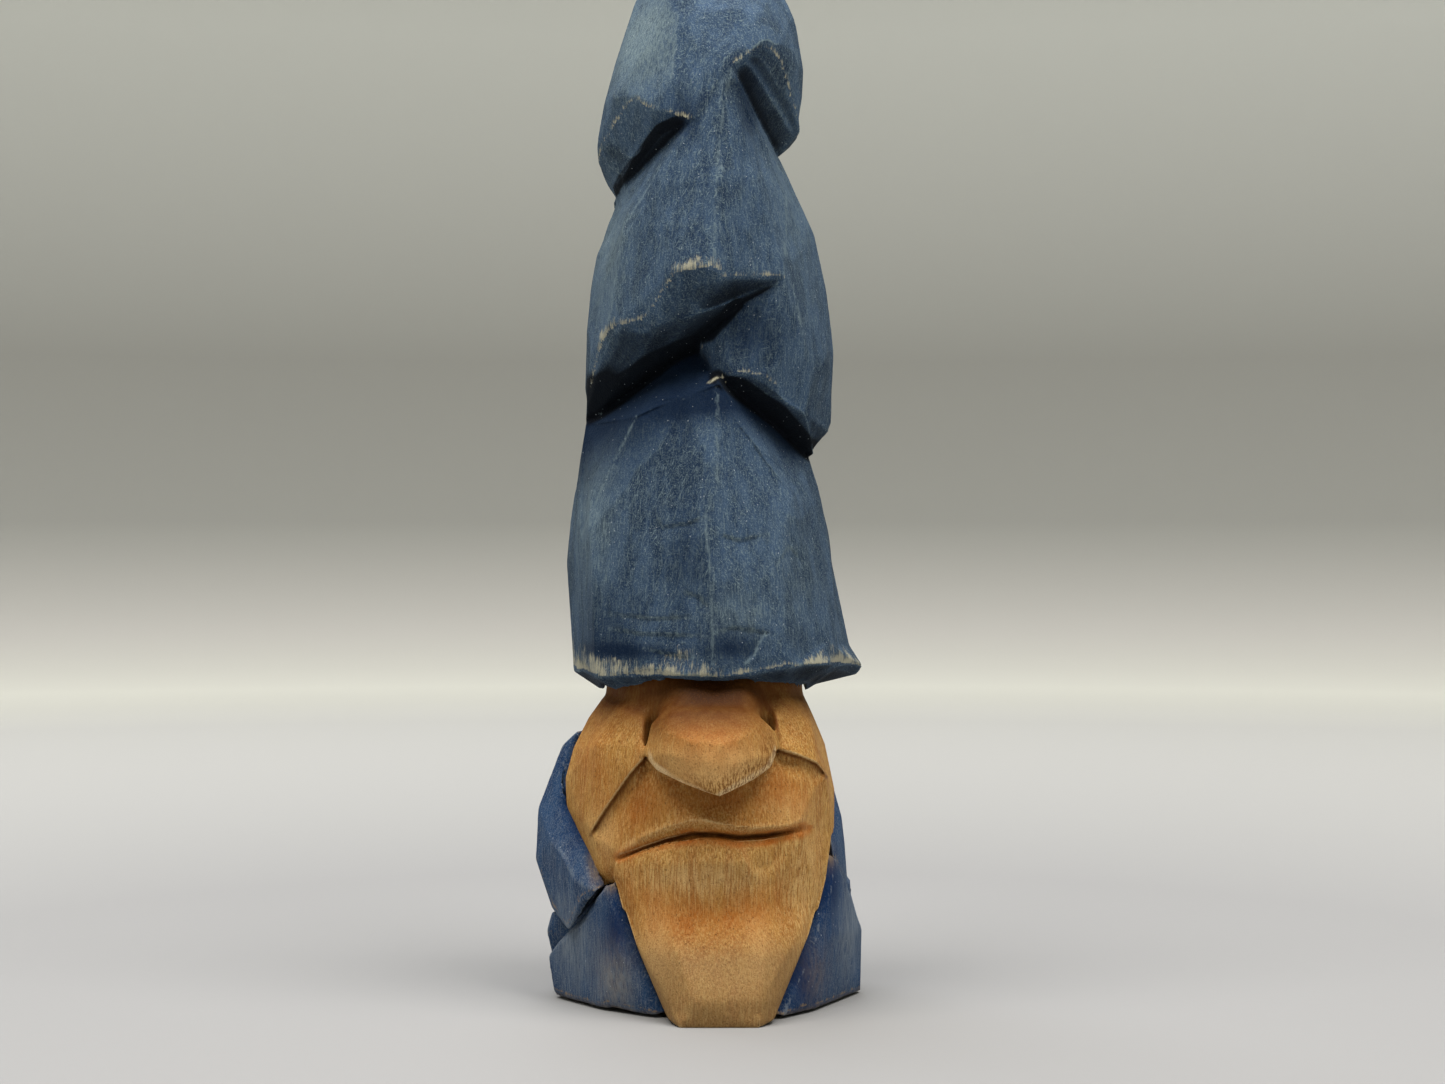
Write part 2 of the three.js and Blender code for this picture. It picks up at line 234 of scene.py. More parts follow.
def fray(surface, amount, seed):
    """Small torn fibres, standing along the grain, where an edge ends across it."""
    edge = surface.at - surface.spread(surface.at, 4)
    sharp = smooth_step((edge * surface.normal).sum(1), 0.02, 0.08)
    fibre = lattice_noise(surface.at, np.array([0.45, 0.45, 3.0]), seed)
    surface.at -= surface.normal * (amount * sharp * np.clip(fibre + 0.2, 0.0, 1.0))[:, None]
    surface.store()


def facet_masks(surface, quiet=0.0):
    """Masks for sharp ridges except where quiet is 1, each facet's share of stain, and facet edges."""
    rise = ((surface.at - surface.spread(surface.at, 3)) * surface.normal).sum(1)
    surface.mask("ridge", rise / 0.035 * (1.0 - np.clip(quiet, 0.0, 1.0)))
    surface.mask("tone", surface.spread(surface.tone, 1))
    surface.mask("outline", 4.0 * np.abs(surface.tone - surface.spread(surface.tone, 2)))


def painted_hollow_shade_mask(surface, rounds, depth, creases=0.0):
    """Painted shade where the surface lies well inside its surroundings, as in a crease, or hangs over."""
    sink = ((surface.spread(surface.at, rounds) - surface.at) * surface.normal).sum(1)
    under = smooth_step(-surface.spread(surface.normal[:, 2], 3), 0.15, 0.6)
    painted_hollow_shade = np.clip(sink / depth + 0.7 * under + creases, 0.0, 1.0)
    surface.mask("painted_hollow_shade", painted_hollow_shade)
    return painted_hollow_shade


def torn_mask(surface, width, where=True):
    """1 at the edge above an undercut, where the knife left the grain, fading out upwards over width."""
    slant = surface.spread(surface.normal[:, 2], 6)
    under = np.flatnonzero(slant < -0.2)
    tree = KDTree(len(under))
    for index in under:
        tree.insert(surface.at[index], index)
    tree.balance()
    torn = np.zeros(surface.count)
    widest = np.max(width)
    for index in np.flatnonzero(slant > -0.2):
        nearest, _, distance = tree.find(surface.at[index])
        if distance < widest and surface.at[index, 2] - nearest.z > 0.5 * distance:
            torn[index] = distance
        else:
            torn[index] = widest
    surface.mask("torn", (1.0 - torn / width) * (slant > -0.2) * where)


def close_gap(surface, node, gap=0.55):
    """Presses a piece's surface onto a neighbour that it only just clears, as in one block of wood, and gives
    a mask of where it did."""
    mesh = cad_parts[node].data
    tree = BVHTree.FromPolygons([v.co for v in mesh.vertices], [p.vertices for p in mesh.polygons])
    pull = np.zeros(surface.count)
    for index, place in enumerate((surface.at + AXIS) * MM):
        nearest, _, _, distance = tree.find_nearest(place, 1.6 * gap * MM)
        if nearest is None:
            continue
        pull[index] = 1.0 - smooth_step(distance / MM, gap, 1.6 * gap)
        surface.at[index] += (np.array(nearest) - place) / MM * 1.05 * pull[index]
    surface.store()
    return surface.spread(pull, 5)


# ---------------------------------------------------------------- shader building


class Shader:
    """A material under construction, with short names for the nodes it uses."""

    def __init__(self, name, roughness, specular):
        self.material = bpy.data.materials.new(name)
        self.material.use_nodes = True
        self.tree = self.material.node_tree
        self.surface = self.tree.nodes["Principled BSDF"]
        self.surface.inputs["Roughness"].default_value = roughness
        self.surface.inputs["Specular IOR Level"].default_value = specular
        self.place = self.add("ShaderNodeTexCoord").outputs["Object"]

    def add(self, kind, **settings):
        node = self.tree.nodes.new(kind)
        for name, value in settings.items():
            setattr(node, name, value)
        return node

    def feed(self, socket, value):
        if isinstance(value, bpy.types.NodeSocket):
            self.tree.links.new(value, socket)
        else:
            socket.default_value = value

    def stretched(self, size, lean=0.0):
        """Coordinates in which one unit is a feature of that size, in millimetres, leaning over sideways."""
        node = self.add("ShaderNodeMapping", vector_type="TEXTURE")
        self.feed(node.inputs["Vector"], self.place)
        node.inputs["Scale"].default_value = [s * MM for s in size]
        node.inputs["Rotation"].default_value = (0.0, lean, 0.0)
        return node.outputs["Vector"]

    def noise(self, size, detail=2.0, roughness=0.5, distortion=0.0, lean=0.0):
        node = self.add("ShaderNodeTexNoise")
        self.feed(node.inputs["Vector"], self.stretched(size, lean))
        node.inputs["Scale"].default_value = 1.0
        node.inputs["Detail"].default_value = detail
        node.inputs["Roughness"].default_value = roughness
        node.inputs["Distortion"].default_value = distortion
        return node.outputs[0]

    def dots(self, size, radius):
        """1 inside small scattered marks of about that size, 0 between them."""
        node = self.add("ShaderNodeTexVoronoi")
        self.feed(node.inputs["Vector"], self.stretched(size))
        node.inputs["Scale"].default_value = 1.0
        node.inputs["Randomness"].default_value = 1.0
        return self.ramp(node.outputs["Distance"], radius, radius * 0.5)

    def mask(self, name):
        return self.add("ShaderNodeAttribute", attribute_name=name).outputs["Fac"]

    def ramp(self, value, low, high, out_low=0.0, out_high=1.0):
        node = self.add("ShaderNodeMapRange", interpolation_type="SMOOTHSTEP")
        self.feed(node.inputs["Value"], value)
        node.inputs["From Min"].default_value = low
        node.inputs["From Max"].default_value = high
        node.inputs["To Min"].default_value = out_low
        node.inputs["To Max"].default_value = out_high
        return node.outputs["Result"]

    def math(self, operation, a, b=0.0):
        node = self.add("ShaderNodeMath", operation=operation)
        self.feed(node.inputs[0], a)
        self.feed(node.inputs[1], b)
        return node.outputs[0]

    def mix(self, factor, a, b):
        node = self.add("ShaderNodeMix", data_type="RGBA")
        self.feed(node.inputs[0], factor)
        self.feed(node.inputs[6], a)
        self.feed(node.inputs[7], b)
        return node.outputs[2]

    def finish(self, colour, height, depth, roughness=None):
        """Connects the colour, and a bump whose full height is that depth in millimetres."""
        self.feed(self.surface.inputs["Base Color"], colour)
        bump = self.add("ShaderNodeBump")
        bump.inputs["Strength"].default_value = 1.0
        bump.inputs["Distance"].default_value = depth * MM
        self.feed(bump.inputs["Height"], height)
        self.feed(self.surface.inputs["Normal"], bump.outputs["Normal"])
        if roughness is not None:
            self.feed(self.surface.inputs["Roughness"], roughness)
        return self.material


def stained_wood(name, deep_stain_and_shade, body, dusty, bare, roughness):
    """Blue stain on limewood: thin on the ridges, gone in streaks at torn edges and denser in the hollows,
    with painted shade in the hollows and under overhangs and painted sheen on some facets.
    """
    m = Shader(name, roughness, 0.06)
    m.surface.inputs["Sheen Weight"].default_value = 0.02
    m.surface.inputs["Sheen Roughness"].default_value = 0.4
    m.surface.inputs["Sheen Tint"].default_value = srgb("b8c8d0")
    fibre = m.noise((0.15, 0.15, 2.2), 2.0, 0.6)
    speckle = m.noise((0.13, 0.13, 0.18), 3.0, 0.7)
    cloud = m.noise((1.8, 1.8, 5.0), 4.0, 0.65)
    patch = m.noise((1.5, 1.5, 1.5), 2.0)
    streak = m.noise((0.2, 0.2, 2.4), 3.0, 0.7)
    chips = m.noise((0.35, 0.35, 0.9), 2.0, 0.6)
    shade = m.math("ADD", m.math("MULTIPLY", m.mask("tone"), 0.5), m.ramp(cloud, 0.3, 0.7, 0.0, 0.6))
    colour = m.mix(m.ramp(shade, 0.15, 0.95, 0.3, 1.0), srgb(deep_stain_and_shade), srgb(body))
    colour = m.mix(m.ramp(speckle, 0.48, 0.68, 0.0, 0.35), colour, srgb(dusty))
    colour = m.mix(m.ramp(fibre, 0.5, 0.7, 0.0, 0.35), colour, srgb(dusty))
    colour = m.mix(m.ramp(speckle, 0.3, 0.46, 0.4, 0.0), colour, srgb(deep_stain_and_shade))
    for lean in (0.5, -0.9, 1.4):
        scratch = m.noise((0.1, 0.1, 1.6), 1.0, 0.5, 0.2, lean)
        colour = m.mix(m.ramp(scratch, 0.64, 0.74, 0.0, 0.6), colour, srgb(dusty))
    # Dusting, and painted sheen on side facets.
    dust_and_sheen_cover = m.math("MULTIPLY", m.mask("dust_and_sheen"), m.ramp(fibre, 0.3, 0.6, 0.2, 1.0))
    colour = m.mix(m.math("MULTIPLY", dust_and_sheen_cover, 0.8), colour, srgb(dusty))
    # Denser stain pooled below creases, and painted shade under overhangs and in recesses.
    colour = m.mix(m.math("MULTIPLY", m.mask("deep_stain_and_shade"), 0.9), colour, srgb(deep_stain_and_shade))
    # Painted shade, nearly black, in the hollows and under overhangs.
    colour = m.mix(m.ramp(m.mask("painted_hollow_shade"), 0.1, 0.9, 0.0, 0.95), colour, srgb("06090f"))
    worn = m.math("ADD", m.math("MULTIPLY", m.mask("ridge"), 0.6), m.math("MULTIPLY", m.mask("outline"), 0.3))
    worn = m.ramp(m.math("ADD", worn, chips), 0.75, 1.15, 0.0, 0.6)
    worn = m.math("MAXIMUM", worn, m.math("MULTIPLY", m.mask("line"), m.ramp(chips, 0.4, 0.6, 0.0, 0.42)))
    colour = m.mix(worn, colour, srgb(dusty))
    broken = m.math("ADD", m.math("MULTIPLY", streak, 2.0), m.math("MULTIPLY", patch, 1.6))
    torn = m.ramp(m.math("ADD", m.math("MULTIPLY", m.mask("torn"), 0.8), broken), 2.1, 2.7, 0.0, 0.8)
    torn = m.math("MULTIPLY", torn, m.ramp(m.mask("torn"), 0.0, 0.2))
    rubbed = m.math("MULTIPLY", m.mask("bare"), m.ramp(chips, 0.3, 0.6, 0.35, 0.95))
    colour = m.mix(m.math("MAXIMUM", torn, rubbed), colour, srgb(bare))
    specks = m.dots((0.7, 0.7, 0.9), 0.09)
    colour = m.mix(m.math("MULTIPLY", specks, 0.5), colour, srgb("bbc4ca"))
    return m.finish(colour, m.math("ADD", fibre, speckle), 0.07)


def bare_wood(name):
    """Oiled limewood with fine pores and an orange wash, with brown painted shade in the creases, under the
    brim and under the nose, and painted highlights on the nose, cheeks and chin.
    """
    m = Shader(name, 0.55, 0.08)
    fibre = m.noise((0.15, 0.15, 2.6), 3.0, 0.6)
    band = m.noise((1.2, 1.2, 14.0), 2.0, 0.5, 0.3)
    cloud = m.noise((1.6, 1.6, 3.0), 3.0, 0.6)
    mottle = m.noise((0.16, 0.16, 0.6), 3.0, 0.6, 0.3)
    grit = m.noise((0.14, 0.14, 0.16), 2.0, 0.6)
    colour = m.mix(m.ramp(band, 0.3, 0.7), srgb("996831"), srgb("a87d3f"))
    colour = m.mix(m.ramp(mottle, 0.5, 0.68, 0.0, 0.6), colour, srgb("cc9e62"))
    colour = m.mix(m.ramp(mottle, 0.32, 0.48, 0.7, 0.0), colour, srgb("74491f"))
    colour = m.mix(m.ramp(fibre, 0.45, 0.66, 0.0, 0.5), colour, srgb("cbaa6c"))
    grain = m.ramp(grit, 0.32, 0.48, 0.45, 0.0)
    # Paler grain, and painted highlight on the band under the nose and on the right jaw.
    pale_grain_and_highlight = m.math("MULTIPLY", m.mask("pale_grain_and_highlight"), m.ramp(fibre, 0.35, 0.62, 0.15, 1.0))
    colour = m.mix(m.math("MULTIPLY", pale_grain_and_highlight, 0.85), colour, srgb("e4bf84"))
    # Painted highlights on the nose, the right muzzle, the left jaw and the chin.
    colour = m.mix(m.math("MULTIPLY", m.mask("light"), 0.6), colour, srgb("e0b678"))
    # A duller colour and painted shade low on the chin and on the lower lip.
    colour = m.mix(m.math("MULTIPLY", m.mask("dull_and_painted_shade"), 0.75), colour, srgb("7c6648"))
    rim = m.math("MULTIPLY", m.mask("rim"), m.ramp(cloud, 0.35, 0.6, 0.3, 1.0))
    colour = m.mix(m.math("MULTIPLY", rim, 0.8), colour, srgb("eed6a6"))
    ticks = m.math("MULTIPLY", m.mask("ticks"), m.ramp(fibre, 0.42, 0.54, 0.8, 0.0))
    colour = m.mix(ticks, colour, srgb("6e4a22"))
    wash = m.math("MULTIPLY", m.mask("wash"), m.ramp(cloud, 0.25, 0.7, 0.45, 1.0))
    colour = m.mix(m.math("MULTIPLY", wash, 0.8), colour, srgb("a55817"))
    # Painted brown shade under the brim, under the nose and cheeks, and in the creases.
    shade = m.math("MULTIPLY", m.mask("shade"), m.ramp(cloud, 0.25, 0.7, 0.75, 1.0))
    colour = m.mix(m.math("MULTIPLY", shade, 0.95), colour, srgb("582c06"))
    # Painted shade, nearly black-brown, in the mouth's slit and under the brim over the nose.
    colour = m.mix(m.math("MULTIPLY", m.mask("deep_painted_shade"), 0.95), colour, srgb("301804"))
    colour = m.mix(grain, colour, srgb("5c3616"))
    colour = m.mix(m.ramp(m.mask("ridge"), 0.4, 1.0, 0.0, 0.45), colour, srgb("d8bc89"))
    pores = m.dots((0.55, 0.55, 1.4), 0.12)
    colour = m.mix(m.math("MULTIPLY", pores, 0.6), colour, srgb("58391c"))
    height = m.math("SUBTRACT", fibre, m.math("MULTIPLY", pores, 0.8))
    return m.finish(colour, m.math("ADD", height, grit), 0.05, m.ramp(fibre, 0.3, 0.7, 0.5, 0.65))


# ---------------------------------------------------------------- the pieces

# Knife marks of the hat's front, as (x, z) seen from the front.
FRONT_CREASE = [
    (-13.5, 56.9), (-9.0, 59.6), (-5.3, 62.3), (-2.6, 63.8), (0.4, 65.0), (3.0, 68.0), (7.7, 70.5),
]
LEFT_PEAK_CREASE = [(-9.5, 79.5), (-8.6, 81.0), (-6.5, 83.3), (-4.6, 85.2), (-2.2, 86.2)]
RIGHT_CREASE = [(1.2, 60.8), (3.5, 59.6), (7.2, 57.2), (9.0, 55.4), (11.5, 53.0)]
FRONT_MARKS = [
    # a patch in the middle and one inside it
    [(-4.7, 47.7), (-4.1, 46.5), (-1.7, 46.9), (0.0, 47.6)],
    [(-2.3, 40.5), (-0.5, 39.8), (0.5, 38.6)],
    # nicks on the right
    [(1.1, 45.9), (3.2, 45.2), (5.9, 45.9)],
    [(6.8, 42.8), (8.0, 44.7), (9.8, 42.8)],
    # scallops just above the brim
    [(0.8, 36.5), (2.6, 37.0), (5.6, 36.5), (4.6, 34.3), (3.2, 33.2)],
    [(-9.8, 38.2), (-5.0, 37.8), (-1.0, 38.0)],
    [(-9.4, 36.8), (-6.0, 36.3), (0.4, 36.2)],
    [(-5.9, 35.0), (-3.4, 34.4), (-1.0, 34.2)],
]
CHIP = [(0.3, 60.5), (1.1, 61.0)]
WORN_LINES = [
    # down the middle of the cone and up the front of the fold
    [(1.1, 60.0), (1.1, 50.3), (0.0, 47.6), (0.2, 44.7), (0.5, 41.7), (0.6, 37.4), (0.7, 33.5)],
    [(0.8, 71.8), (0.9, 76.0), (1.2, 83.0), (2.4, 90.8)],
    # edges of the bevel on the left of the cone, and of the facets above it
    [(-6.8, 57.3), (-10.6, 49.5), (-12.4, 45.5)],
    [(-9.5, 66.6), (-8.0, 76.0), (-5.9, 79.0), (-4.5, 81.6)],
    [(-3.4, 90.0), (-2.7, 96.4)],
    [(7.6, 71.0), (7.9, 79.6)],
    [(8.4, 70.0), (9.2, 66.5), (9.8, 63.5)],
    [(-9.9, 47.0), (-9.4, 43.5), (-9.8, 41.0)],
]


def make_hat(rng):
    piece = fine_copy("hat", 0.21)
    surface = Surface(piece.data)
    surface.relax(1)
    x, y, z = surface.at.T
    left_brim = smooth_step(-x, -2.5, 1.0) * (z < 40.0)
    flare = smooth_step(x, 9.0, 12.5) * (z < 40.0)
    fold_corner = surface.blob((-10.0, -7.0, 65.8), (2.0, 6.0, 1.5))
    fold_peak = surface.blob((-1.0, -12.0, 71.5), (2.5, 6.0, 1.5))
    rim = 1.2 * fold_corner + 1.5 * fold_peak
    torn_mask(surface, 0.7 + 2.6 * left_brim + 1.8 * flare + rim, (z < 36.0) | (z > 60.5))
    pare(surface, 30, (5.0, 10.0), (0.03, 0.08), rng, False)
    pare(surface, 110, (3.0, 8.0), (0.08, 0.26), rng, True)
    front = surface.facing_front()
    x, y, z = surface.at.T
    # Painted shade along the folds' creases and in the corner under the left end of the fold.
    creases = 2.5 * surface.blob((-12.0, -4.0, 59.8), (2.4, 4.0, 1.8)) * smooth_step(-y, 0.0, 1.5)
    for crease, reach in ((FRONT_CREASE[:6], 0.8 + 0.8 * smooth_step(-x, 0.0, 9.0)), (RIGHT_CREASE, 1.4)):
        creases += (1.0 - smooth_step(surface.near_path(crease)[0] / reach, 0.3, 1.0)) * front
    creases += 0.7 * (1.0 - smooth_step(surface.near_path(LEFT_PEAK_CREASE)[0], 0.3, 0.6)) * front
    painted_hollow_shade = painted_hollow_shade_mask(surface, 120, 0.9, creases)
    # Denser stain pooled below the creases, and painted shade under the folds' overhangs and in the recesses.
    deep_stain_and_shade = (
        surface.blob((4.6, -8.0, 88.0), (1.6, 3.0, 3.5))
        + surface.blob((-2.0, -8.0, 86.0), (1.5, 3.0, 2.0))
        + surface.blob((-6.5, -8.0, 34.6), (7.0, 8.0, 1.0))
        + 0.9 * surface.blob((4.5, -7.0, 65.5), (2.8, 4.0, 3.0))
        + 0.45 * surface.blob((-2.0, -12.0, 43.0), (2.2, 5.0, 4.5))
        + 0.5 * surface.blob((-9.0, -8.0, 37.0), (4.0, 6.0, 3.0))
        + 0.9 * surface.blob((2.4, -13.0, 35.2), (2.6, 5.0, 1.7))
        + 0.9 * surface.blob((-1.5, -8.0, 60.0), (4.0, 6.0, 3.5))
    )
    for crease, reach in ((FRONT_CREASE[:5], 9.0), (RIGHT_CREASE, 4.0)):
        far, along, below = surface.near_path(crease)
        middle = 1.0 - smooth_step(along, 0.75, 1.0)
        deep_stain_and_shade += 1.4 * np.clip(1.0 - far / reach, 0.0, 1.0) * smooth_step(below, -0.2, 0.8) * front * middle
    surface.mask("deep_stain_and_shade", deep_stain_and_shade)
    for mark in FRONT_MARKS:
        surface.stop_cut(mark, 1.6, 0.22, 0.3)
    surface.store()
    fray(surface, 0.16, SEED)
    line = np.zeros(surface.count)
    for path in WORN_LINES + FRONT_MARKS:
        line = np.maximum(line, 1.0 - smooth_step(surface.near_path(path)[0], 0.05, 0.22))
    surface.mask("line", line * front)
    facet_masks(surface, 1.3 * deep_stain_and_shade + painted_hollow_shade)
    facing_left = smooth_step(-surface.normal[:, 0], 0.25, 0.45)
    # Dusting, and painted sheen on the left-facing facets.
    dust_and_sheen = (
        0.4 * surface.blob((3.0, -12.0, 38.0), (2.5, 4.0, 3.0))
        + 0.15 * surface.blob((8.5, -9.0, 42.0), (3.0, 5.0, 6.0))
        + 0.6 * surface.blob((-11.5, -6.0, 50.0), (2.5, 6.0, 8.0)) * facing_left
        + 1.3 * surface.blob((-7.0, -6.0, 95.0), (4.0, 7.0, 5.0)) * facing_left
        + 0.7 * surface.blob((-10.0, -5.0, 75.0), (2.5, 6.0, 7.0)) * facing_left
        + 0.3 * surface.blob((9.0, -4.0, 80.0), (3.0, 6.0, 9.0))
    )
    surface.mask("dust_and_sheen", dust_and_sheen)
    surface.mask("bare", (1.0 - smooth_step(surface.near_path(CHIP)[0], 0.05, 0.2)) * front)
    piece.data.materials.append(stained_wood("hat_stain", "06182f", "384c65", "738489", "a8a48e", 0.75))


# Creases and edges of the face, as (x, z) seen from the front.
MOUTH = [
    (-8.3, 15.1), (-5.8, 16.15), (-3.5, 17.0), (-1.2, 17.55), (0.9, 17.5), (3.2, 17.2), (5.7, 17.3),
    (9.3, 17.9),
]
UPPER_LIP = [
    (-8.3, 15.4), (-6.2, 17.0), (-3.7, 18.2), (-1.4, 18.9), (0.0, 18.9), (1.8, 18.4), (3.6, 18.0),
    (5.7, 18.2), (7.5, 18.1), (9.0, 18.7),
]
UNDER_LEFT_CHEEK = [(-11.2, 16.9), (-9.5, 19.6), (-7.2, 22.95), (-5.7, 24.7)]
UNDER_RIGHT_CHEEK = [(6.7, 25.4), (9.0, 24.65), (10.6, 23.85), (11.7, 22.5)]
LEFT_WING = [(-4.0, 31.3), (-5.8, 28.3), (-5.9, 26.2)]
RIGHT_WING = [(4.6, 31.2), (6.6, 28.4), (7.0, 26.4)]
NOSE_RIM = [(-5.9, 26.0), (-5.1, 24.2), (-2.4, 22.6), (0.9, 21.2), (3.2, 22.5), (6.0, 23.9), (6.9, 25.8)]


def make_head(rng):
    piece = fine_copy("head", 0.17)
    surface = Surface(piece.data)
    surface.relax(1)
    pare(surface, 30, (2.0, 4.5), (0.02, 0.06), rng, True)
    x, _, z = surface.at.T
    scoop = smooth_step(z, 6.2, 8.2) * (1.0 - smooth_step(z, 12.4, 14.0))
    nose = surface.blob((0.7, -17.0, 27.8), (4.5, 4.0, 2.8))
    surface.relax(150, surface.facing_front() * scoop)
    foot = smooth_step(z, 0.6, 1.6) * (1.0 - smooth_step(z, 3.0, 5.0))
    beside_nose = np.zeros(surface.count)
    for place in ((-5.8, -13.0, 28.0), (6.6, -13.0, 28.4)):
        beside_nose += surface.blob(place, (2.2, 6.0, 2.8))
    softened = surface.facing_front() * (0.5 * nose + 0.8 * foot) + 2.0 * beside_nose
    surface.relax(100, np.clip(softened, 0.0, 1.0))
    brow = smooth_step(z, 27.8, 29.2)
    surface.relax(60, smooth_step(-surface.at[:, 1], 2.0, 5.0) * brow)
    surface.at[:, 1] += 0.5 * surface.blob((0.7, -13.5, 20.2), (2.2, 3.0, 1.6)) * surface.facing_front()
    surface.stop_cut(UNDER_LEFT_CHEEK, 2.6, 0.7)
    surface.stop_cut(UNDER_RIGHT_CHEEK, 2.2, 0.8)
    surface.stop_cut(MOUTH, 1.4, 0.45)
    surface.score(MOUTH[2:], 0.3, 0.35, 0.25)
    surface.score(UPPER_LIP, 0.5, -0.1)
    surface.score([(1.8, 21.5), (1.8, 20.2)], 0.16, 0.2)
    surface.score([(3.8, 21.9), (4.7, 21.0)], 0.16, 0.2)
    surface.score([(-3.2, 21.4), (-3.5, 20.7)], 0.16, 0.15)
    surface.store()
    surface.relax(1, 0.7)
    facet_masks(surface)
    lips, _, below = surface.near_path(MOUTH)
    x, _, z = surface.at.T
    front = smooth_step(-surface.normal[:, 1], -0.3, 0.1)
    mouth_middle = smooth_step(x, -7.5, -3.0) * (1.0 - smooth_step(x, 6.0, 9.0))
    mouth_line = (1.0 - smooth_step(lips, 0.1, 0.35)) * mouth_middle
    wash = (
        0.75 * surface.blob((0.5, -18.0, 26.8), (4.6, 4.0, 2.9))
        + 0.5 * surface.blob((0.5, -14.0, 21.0), (9.0, 4.0, 3.2))
        + 0.5 * surface.blob((-7.0, -13.0, 19.5), (2.6, 3.0, 2.4))
        + 0.5 * surface.blob((8.0, -13.0, 21.5), (2.6, 3.0, 2.2))
        + 0.85 * surface.blob((0.3, -15.0, 9.6), (6.6, 3.0, 2.0))
        + 0.4 * surface.blob((-5.5, -15.0, 11.6), (2.0, 3.0, 1.2))
        + 0.4 * surface.blob((6.0, -15.0, 11.4), (2.5, 3.0, 1.6))
        + 0.5 * surface.blob((-11.0, -8.0, 24.0), (2.4, 4.0, 4.5))
        + 0.3 * surface.blob((-8.5, -10.0, 13.5), (2.0, 4.0, 2.0))
        + 1.4 * (1.0 - smooth_step(lips, 0.5, 1.2)) * (below > -0.1) * smooth_step(x, -6.0, 0.0)
        + 0.7 * (1.0 - smooth_step(lips, 0.3, 0.8))
    )
    surface.mask("wash", wash * front)
    # Painted shade: in creases, along the cuts under the cheeks and beside the nose wings, graded darker
    # towards the brim, and under the nose.
    sink = ((surface.spread(surface.at, 25) - surface.at) * surface.normal).sum(1)
    cheek_cuts = np.zeros(surface.count)
    for cut in (UNDER_LEFT_CHEEK, UNDER_RIGHT_CHEEK):
        far, _, right = surface.near_path(cut)
        cheek_cuts += (1.0 - smooth_step(far, 0.1, 0.5)) * smooth_step(right, -0.15, 0.1)
    for wing in (LEFT_WING, RIGHT_WING):
        cheek_cuts += 0.7 * (1.0 - smooth_step(surface.near_path(wing)[0], 0.05, 0.3))
    shade = (
        (1.3 - 0.4 * smooth_step(x, 4.0, 7.0)) * smooth_step(z, 25.0, 31.0)
        + 0.25 * surface.blob((-4.5, -14.0, 28.0), (2.5, 5.0, 2.0))
        + 0.4 * surface.blob((-7.0, -12.0, 21.5), (2.0, 4.0, 2.5))
        + 0.45 * surface.blob((0.2, -13.0, 20.9), (4.5, 2.4, 1.9))
        + 0.25 * surface.blob((0.0, -15.0, 9.0), (5.0, 4.0, 2.5))
        + smooth_step(sink, 0.08, 0.3)
        + 0.35 * (1.0 - smooth_step(lips, 0.15, 0.4))
        + 0.9 * cheek_cuts
    )
    surface.mask("shade", shade)
    # Painted shade in the mouth's slit and under the brim over the nose.
    surface.mask("deep_painted_shade", 0.7 * mouth_line + 1.1 * surface.blob((0.3, -13.0, 31.0), (5.5, 6.0, 2.8)))
    upper_lip = 1.0 - smooth_step(surface.near_path(UPPER_LIP)[0], 0.15, 0.6)
    # Paler grain on the lower lip and along the upper lip, and painted highlight on the band under the nose
    # and on the right jaw.
    pale_grain_and_highlight = (
        0.6 * surface.blob((2.5, -18.5, 23.2), (3.5, 3.0, 1.2))
        + 0.6 * surface.blob((-0.5, -16.0, 13.2), (6.0, 4.0, 1.3))
        + 0.5 * surface.blob((9.5, -11.0, 12.0), (2.0, 4.0, 6.0))
        + 0.4 * upper_lip
    )
    surface.mask("pale_grain_and_highlight", pale_grain_and_highlight * front)
    rim = surface.near_path(NOSE_RIM)[0]
    on_nose = surface.at[:, 1] < -14.5
    surface.mask("rim", (1.0 - smooth_step(rim, 0.15, 0.5)) * on_nose)
    surface.mask("ticks", (1.0 - smooth_step(rim, 0.6, 2.4)) * smooth_step(x, -3.0, 1.0) * on_nose)
    # Painted highlights: paler spots on the nose, the right muzzle, the left jaw and the chin, where light
    # falls.
    light = (
        1.3 * surface.blob((0.5, -18.5, 24.3), (6.0, 3.0, 2.2))
        + 0.6 * surface.blob((7.8, -12.0, 19.8), (2.2, 4.0, 1.8))
        + 0.7 * surface.blob((-9.8, -9.5, 17.0), (1.5, 4.0, 2.5))
        + 0.8 * surface.blob((-4.6, -14.5, 6.5), (1.8, 4.0, 4.0))
        + 0.5 * surface.blob((5.0, -14.5, 7.5), (1.5, 4.0, 3.0))
    )
    surface.mask("light", light * front)
    # A duller colour and painted shade low on the chin and on the lower lip.
    under_mouth = surface.blob((1.0, -16.0, 14.0), (7.0, 4.0, 2.0))
    surface.mask("dull_and_painted_shade", 0.75 * (1.0 - smooth_step(z, 5.5, 9.0)) + 0.35 * under_mouth)
    piece.data.materials.append(bare_wood("bare_wood"))


CUFF_LINE = [(-14.9, 15.6), (-13.6, 14.3), (-12.7, 12.5), (-11.1, 11.6)]


